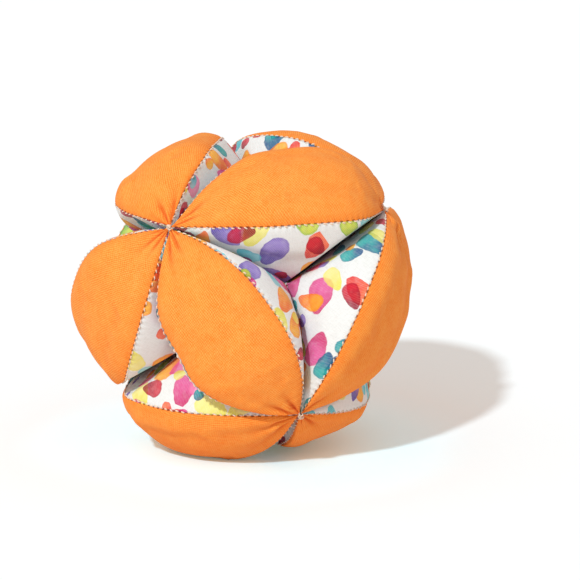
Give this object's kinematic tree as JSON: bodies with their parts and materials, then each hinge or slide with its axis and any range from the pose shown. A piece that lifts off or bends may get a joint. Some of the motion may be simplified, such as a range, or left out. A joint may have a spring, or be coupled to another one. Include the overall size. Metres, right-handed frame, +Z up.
{
  "type": "sensory ball",
  "caption": "Soft baby ball of stuffed fabric wedges in crossing rings, sewn tip to tip, with three-sided finger hollows between orange crowns and printed sides.",
  "frame": {"origin": "on the floor, under the centre of the ball", "axes": "+Z up through the hollows at the top and the bottom, +Y away from the camera of the picture, +X to its right"},
  "size_m": [0.1185, 0.1207, 0.1106],
  "materials": {
    "orange_cotton": "matte",
    "printed_cotton": "matte",
    "fibre_filling": "matte",
    "tack_thread": "matte"
  },
  "bodies": {
    "corner_tacks": {"tack_upper_left": "tack_thread", "tack_lower_front": "tack_thread", "tack_upper_right": "tack_thread", "tack_lower_left": "tack_thread", "tack_upper_back": "tack_thread", "tack_lower_back": "tack_thread"},
    "top_front_wedge": {"top_front_outer_panel": "orange_cotton", "top_front_side_panel_a": "printed_cotton", "top_front_side_panel_b": "printed_cotton", "top_front_filling": "fibre_filling"},
    "top_left_wedge": {"top_left_outer_panel": "orange_cotton", "top_left_side_panel_a": "printed_cotton", "top_left_side_panel_b": "printed_cotton", "top_left_filling": "fibre_filling"},
    "top_back_wedge": {"top_back_outer_panel": "orange_cotton", "top_back_side_panel_a": "printed_cotton", "top_back_side_panel_b": "printed_cotton", "top_back_filling": "fibre_filling"},
    "side_front_wedge": {"side_front_outer_panel": "orange_cotton", "side_front_side_panel_a": "printed_cotton", "side_front_side_panel_b": "printed_cotton", "side_front_filling": "fibre_filling"},
    "side_right_wedge": {"side_right_outer_panel": "orange_cotton", "side_right_side_panel_a": "printed_cotton", "side_right_side_panel_b": "printed_cotton", "side_right_filling": "fibre_filling"},
    "side_back_right_wedge": {"side_back_right_outer_panel": "orange_cotton", "side_back_right_side_panel_a": "printed_cotton", "side_back_right_side_panel_b": "printed_cotton", "side_back_right_filling": "fibre_filling"},
    "side_back_wedge": {"side_back_outer_panel": "orange_cotton", "side_back_side_panel_a": "printed_cotton", "side_back_side_panel_b": "printed_cotton", "side_back_filling": "fibre_filling"},
    "side_back_left_wedge": {"side_back_left_outer_panel": "orange_cotton", "side_back_left_side_panel_a": "printed_cotton", "side_back_left_side_panel_b": "printed_cotton", "side_back_left_filling": "fibre_filling"},
    "side_left_wedge": {"side_left_outer_panel": "orange_cotton", "side_left_side_panel_a": "printed_cotton", "side_left_side_panel_b": "printed_cotton", "side_left_filling": "fibre_filling"},
    "base_left_wedge": {"base_left_outer_panel": "orange_cotton", "base_left_side_panel_a": "printed_cotton", "base_left_side_panel_b": "printed_cotton", "base_left_filling": "fibre_filling"},
    "base_right_wedge": {"base_right_outer_panel": "orange_cotton", "base_right_side_panel_a": "printed_cotton", "base_right_side_panel_b": "printed_cotton", "base_right_filling": "fibre_filling"},
    "base_back_wedge": {"base_back_outer_panel": "orange_cotton", "base_back_side_panel_a": "printed_cotton", "base_back_side_panel_b": "printed_cotton", "base_back_filling": "fibre_filling"}
  },
  "joints": [
    {"name": "top_front_roll", "type": "hinge", "parent": "corner_tacks", "child": "top_front_wedge", "pos_m": [0.00774, -0.02151, 0.08648], "axis": [0.9409, 0.3387, 0], "range_deg": [-8, 8], "stiffness_Nm_per_rad": 0.25},
    {"name": "top_left_roll", "type": "hinge", "parent": "corner_tacks", "child": "top_left_wedge", "pos_m": [-0.0225, 0.00405, 0.08648], "axis": [0.1771, 0.9842, 0], "range_deg": [-8, 8], "stiffness_Nm_per_rad": 0.25},
    {"name": "top_back_roll", "type": "hinge", "parent": "corner_tacks", "child": "top_back_wedge", "pos_m": [0.01476, 0.01746, 0.08648], "axis": [-0.7638, 0.6455, 0], "range_deg": [-8, 8], "stiffness_Nm_per_rad": 0.25},
    {"name": "side_front_roll", "type": "hinge", "parent": "corner_tacks", "child": "side_front_wedge", "pos_m": [-0.00701, -0.03897, 0.05415], "axis": [0.5682, -0.1022, -0.8165], "range_deg": [-8, 8], "stiffness_Nm_per_rad": 0.25},
    {"name": "side_right_roll", "type": "hinge", "parent": "corner_tacks", "child": "side_right_wedge", "pos_m": [0.03025, -0.02556, 0.05415], "axis": [0.3727, 0.441, 0.8165], "range_deg": [-8, 8], "stiffness_Nm_per_rad": 0.25},
    {"name": "side_back_right_roll", "type": "hinge", "parent": "corner_tacks", "child": "side_back_right_wedge", "pos_m": [0.03726, 0.01341, 0.05415], "axis": [-0.1956, 0.5432, -0.8165], "range_deg": [-8, 8], "stiffness_Nm_per_rad": 0.25},
    {"name": "side_back_roll", "type": "hinge", "parent": "corner_tacks", "child": "side_back_wedge", "pos_m": [0.00701, 0.03897, 0.05415], "axis": [0.5682, -0.1022, -0.8165], "range_deg": [-8, 8], "stiffness_Nm_per_rad": 0.25},
    {"name": "side_back_left_roll", "type": "hinge", "parent": "corner_tacks", "child": "side_back_left_wedge", "pos_m": [-0.03025, 0.02556, 0.05415], "axis": [0.3727, 0.441, 0.8165], "range_deg": [-8, 8], "stiffness_Nm_per_rad": 0.25},
    {"name": "side_left_roll", "type": "hinge", "parent": "corner_tacks", "child": "side_left_wedge", "pos_m": [-0.03726, -0.01341, 0.05415], "axis": [-0.1956, 0.5432, -0.8165], "range_deg": [-8, 8], "stiffness_Nm_per_rad": 0.25},
    {"name": "base_left_roll", "type": "hinge", "parent": "corner_tacks", "child": "base_left_wedge", "pos_m": [-0.01476, -0.01746, 0.02182], "axis": [-0.7638, 0.6455, 0], "range_deg": [-8, 8], "stiffness_Nm_per_rad": 0.25},
    {"name": "base_right_roll", "type": "hinge", "parent": "corner_tacks", "child": "base_right_wedge", "pos_m": [0.0225, -0.00405, 0.02182], "axis": [0.1771, 0.9842, 0], "range_deg": [-8, 8], "stiffness_Nm_per_rad": 0.25},
    {"name": "base_back_roll", "type": "hinge", "parent": "corner_tacks", "child": "base_back_wedge", "pos_m": [-0.00774, 0.02151, 0.02182], "axis": [0.9409, 0.3387, 0], "range_deg": [-8, 8], "stiffness_Nm_per_rad": 0.25}
  ]
}
